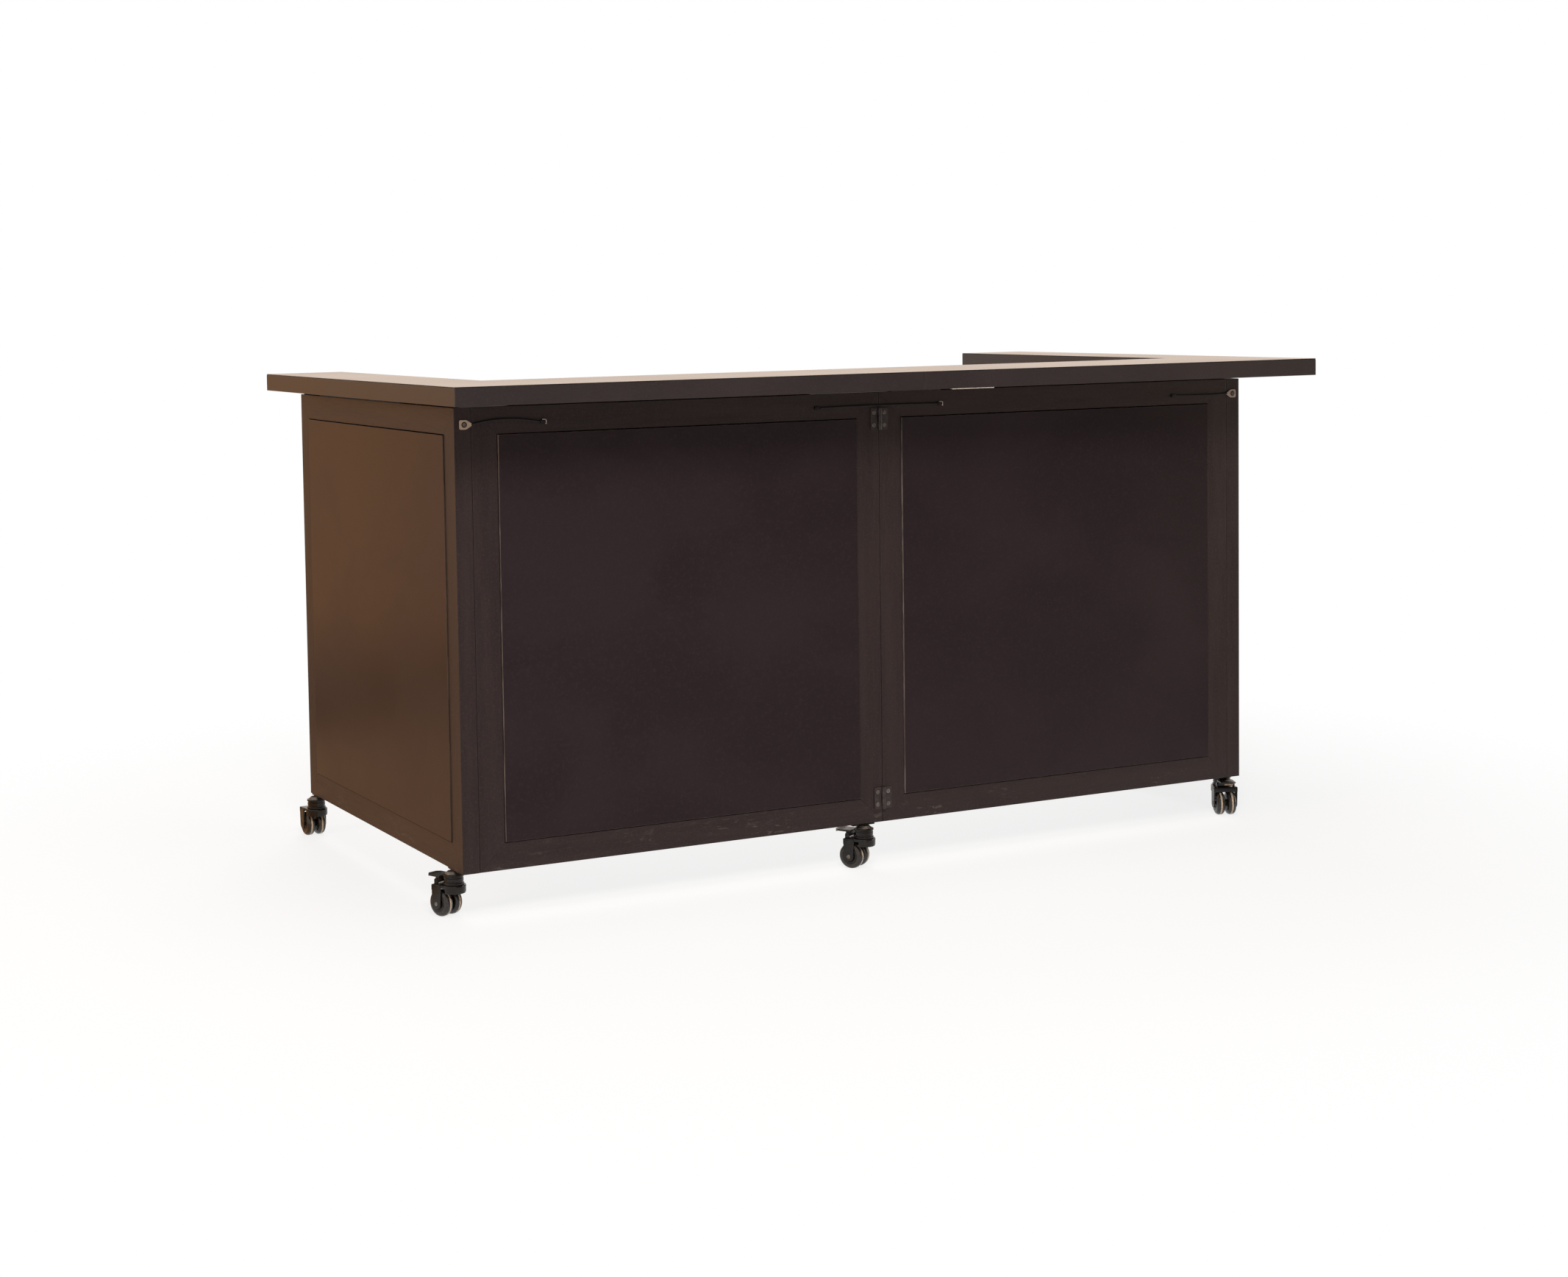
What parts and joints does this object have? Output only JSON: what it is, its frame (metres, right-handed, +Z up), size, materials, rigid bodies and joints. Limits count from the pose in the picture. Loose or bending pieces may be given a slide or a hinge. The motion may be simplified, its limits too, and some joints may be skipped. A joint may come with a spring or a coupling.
{
  "type": "folding portable bar",
  "caption": "Free-standing U-shaped bar: black framed panels hinged to fold flat on twin-wheel braked casters, under an overhanging counter in lift-off halves",
  "frame": {"origin": "floor point under the middle of the counter's length and depth", "axes": "+X along the counter to the customer's right, +Y from the customer's side to the server's side, +Z up"},
  "size_m": [2.105, 1.163, 1.079],
  "materials": {
    "frame_black": "black stained grain, satin",
    "infill_black": "black laminate board, satin",
    "counter_laminate": "black laminate, satin to gloss",
    "cleat_wood": "black stained",
    "black_steel": "black coated",
    "caster_black": "black coated, worn sheen",
    "wheel_black": "hard black tread",
    "pad_rubber": "matt",
    "elastic_black": "matt sheath",
    "clip_steel": "bare steel",
    "tab_white": "off-white"
  },
  "bodies": {
    "front_left": {"front_left_frame": "frame_black", "front_left_infill": "infill_black", "front_left_pad": "pad_rubber", "lower_centre_hinge_left_leaf": "black_steel", "upper_centre_hinge_left_leaf": "black_steel", "lower_left_hinge_front_leaf": "black_steel", "upper_left_hinge_front_leaf": "black_steel", "centre_caster_stem": "caster_black", "left_cord": "elastic_black", "left_cord_clip": "clip_steel", "centre_cord": "elastic_black", "centre_cord_left_clip": "clip_steel"},
    "front_right": {"front_right_frame": "frame_black", "front_right_infill": "infill_black", "front_right_pad": "pad_rubber", "lower_centre_hinge_right_leaf": "black_steel", "upper_centre_hinge_right_leaf": "black_steel", "lower_right_hinge_front_leaf": "black_steel", "upper_right_hinge_front_leaf": "black_steel", "centre_cord_right_clip": "clip_steel", "right_cord": "elastic_black", "right_cord_clip": "clip_steel"},
    "left_wing": {"left_wing_frame": "frame_black", "left_wing_infill": "infill_black", "left_wing_front_pad": "pad_rubber", "left_wing_middle_pad": "pad_rubber", "left_wing_rear_pad": "pad_rubber", "lower_left_hinge_wing_leaf": "black_steel", "upper_left_hinge_wing_leaf": "black_steel", "front_left_caster_stem": "caster_black", "rear_left_caster_stem": "caster_black", "left_cord_tab": "tab_white"},
    "right_wing": {"right_wing_frame": "frame_black", "right_wing_infill": "infill_black", "right_wing_front_pad": "pad_rubber", "right_wing_middle_pad": "pad_rubber", "right_wing_rear_pad": "pad_rubber", "lower_right_hinge_wing_leaf": "black_steel", "upper_right_hinge_wing_leaf": "black_steel", "front_right_caster_stem": "caster_black", "rear_right_caster_stem": "caster_black", "right_cord_tab": "tab_white"},
    "left_top": {"left_counter": "counter_laminate", "left_counter_cleat": "cleat_wood", "counter_joining_plate": "black_steel"},
    "right_top": {"right_counter": "counter_laminate", "right_counter_cleat": "cleat_wood"},
    "front_left_swivel": {"front_left_caster_hood": "caster_black"},
    "front_left_wheels": {"front_left_caster_wheels": "wheel_black"},
    "front_left_pedal": {"front_left_caster_pedal": "caster_black"},
    "rear_left_swivel": {"rear_left_caster_hood": "caster_black"},
    "rear_left_wheels": {"rear_left_caster_wheels": "wheel_black"},
    "front_right_swivel": {"front_right_caster_hood": "caster_black"},
    "front_right_wheels": {"front_right_caster_wheels": "wheel_black"},
    "front_right_pedal": {"front_right_caster_pedal": "caster_black"},
    "rear_right_swivel": {"rear_right_caster_hood": "caster_black"},
    "rear_right_wheels": {"rear_right_caster_wheels": "wheel_black"},
    "centre_swivel": {"centre_caster_hood": "caster_black"},
    "centre_wheels": {"centre_caster_wheels": "wheel_black"},
    "centre_pedal": {"centre_caster_pedal": "caster_black"}
  },
  "joints": [
    {"name": "centre_fold", "type": "hinge", "parent": "front_left", "child": "front_right", "pos_m": [0, -0.4045, 0.56], "axis": [0, 0, -1], "range_deg": [0, 180], "deforming": ["centre_cord"]},
    {"name": "left_wing_fold", "type": "hinge", "parent": "front_left", "child": "left_wing", "pos_m": [-0.939, -0.356, 0.56], "axis": [0, 0, -1], "range_deg": [0, 90], "deforming": ["left_cord"]},
    {"name": "right_wing_fold", "type": "hinge", "parent": "front_right", "child": "right_wing", "pos_m": [0.939, -0.356, 0.56], "axis": [0, 0, 1], "range_deg": [0, 90], "deforming": ["right_cord"]},
    {"name": "left_top_lift", "type": "slide", "parent": "front_left", "child": "left_top", "axis": [0, 0, 1], "range_m": [0, 0.25]},
    {"name": "right_top_lift", "type": "slide", "parent": "left_top", "child": "right_top", "axis": [0, 0, 1], "range_m": [0, 0.25]},
    {"name": "front_left_caster_swivel", "type": "hinge", "parent": "left_wing", "child": "front_left_swivel", "pos_m": [-0.9795, -0.3395, 0.08], "axis": [0, 0, 1], "continuous": true},
    {"name": "front_left_wheels_roll", "type": "hinge", "parent": "front_left_swivel", "child": "front_left_wheels", "pos_m": [-0.98812, -0.31817, 0.0275], "axis": [-0.9272, -0.3746, 0], "continuous": true},
    {"name": "front_left_brake_pedal", "type": "hinge", "parent": "front_left_swivel", "child": "front_left_pedal", "pos_m": [-0.99074, -0.31168, 0.073], "axis": [-0.9272, -0.3746, 0], "range_deg": [0, 10]},
    {"name": "rear_left_caster_swivel", "type": "hinge", "parent": "left_wing", "child": "rear_left_swivel", "pos_m": [-0.9795, 0.5155, 0.08], "axis": [0, 0, 1], "continuous": true},
    {"name": "rear_left_wheels_roll", "type": "hinge", "parent": "rear_left_swivel", "child": "rear_left_wheels", "pos_m": [-0.9803, 0.53849, 0.0275], "axis": [-0.9994, -0.0349, 0], "continuous": true},
    {"name": "front_right_caster_swivel", "type": "hinge", "parent": "right_wing", "child": "front_right_swivel", "pos_m": [0.9795, -0.3395, 0.08], "axis": [0, 0, 1], "continuous": true},
    {"name": "front_right_wheels_roll", "type": "hinge", "parent": "front_right_swivel", "child": "front_right_wheels", "pos_m": [0.97015, -0.36051, 0.0275], "axis": [0.9135, -0.4067, 0], "continuous": true},
    {"name": "front_right_brake_pedal", "type": "hinge", "parent": "front_right_swivel", "child": "front_right_pedal", "pos_m": [0.9673, -0.36691, 0.073], "axis": [0.9135, -0.4067, 0], "range_deg": [0, 10]},
    {"name": "rear_right_caster_swivel", "type": "hinge", "parent": "right_wing", "child": "rear_right_swivel", "pos_m": [0.9795, 0.5155, 0.08], "axis": [0, 0, 1], "continuous": true},
    {"name": "rear_right_wheels_roll", "type": "hinge", "parent": "rear_right_swivel", "child": "rear_right_wheels", "pos_m": [0.9803, 0.53849, 0.0275], "axis": [-0.9994, 0.0349, 0], "continuous": true},
    {"name": "centre_caster_swivel", "type": "hinge", "parent": "front_left", "child": "centre_swivel", "pos_m": [-0.047, -0.3965, 0.08], "axis": [0, 0, 1], "continuous": true},
    {"name": "centre_wheels_roll", "type": "hinge", "parent": "centre_swivel", "child": "centre_wheels", "pos_m": [-0.05885, -0.37678, 0.0275], "axis": [-0.8572, -0.515, 0], "continuous": true},
    {"name": "centre_brake_pedal", "type": "hinge", "parent": "centre_swivel", "child": "centre_pedal", "pos_m": [-0.06245, -0.37078, 0.073], "axis": [-0.8572, -0.515, 0], "range_deg": [0, 10]}
  ]
}
